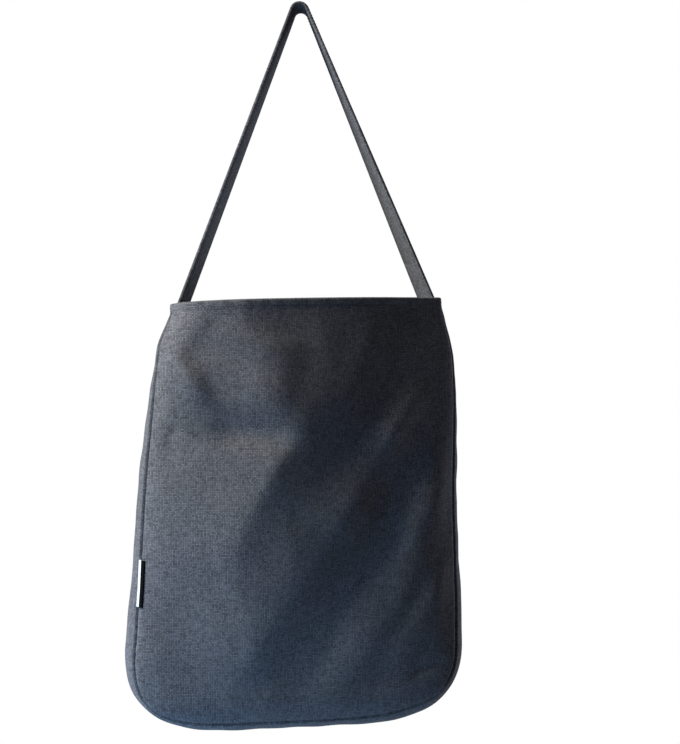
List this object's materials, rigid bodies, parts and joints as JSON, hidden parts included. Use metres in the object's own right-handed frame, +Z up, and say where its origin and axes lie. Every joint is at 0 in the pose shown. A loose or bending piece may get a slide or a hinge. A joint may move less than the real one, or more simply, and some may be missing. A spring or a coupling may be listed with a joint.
{
  "type": "shopping bag",
  "caption": "Soft canvas shopping bag with a rounded-bottom body, a gusset, a lined open mouth and one long shoulder strap, hanging by the strap.",
  "frame": {"origin": "underside of the strap where it hangs over its peg or hook, at the middle of the strap's width", "axes": "+Z up along the hang, +X to the right of the bag's front, -Y the way the front faces"},
  "size_m": [0.3364, 0.1297, 0.7197],
  "materials": {
    "canvas": "matte slubby linen weave",
    "lining": "smooth cotton with dark stripes",
    "label": "woven ribbon"
  },
  "bodies": {
    "root": {"front_panel": "canvas", "back_panel": "canvas", "gusset": "canvas", "mouth_hem": "canvas", "front_lining": "lining", "back_lining": "lining", "gusset_lining": "lining", "strap": "canvas", "side_label": "label"}
  },
  "joints": []
}
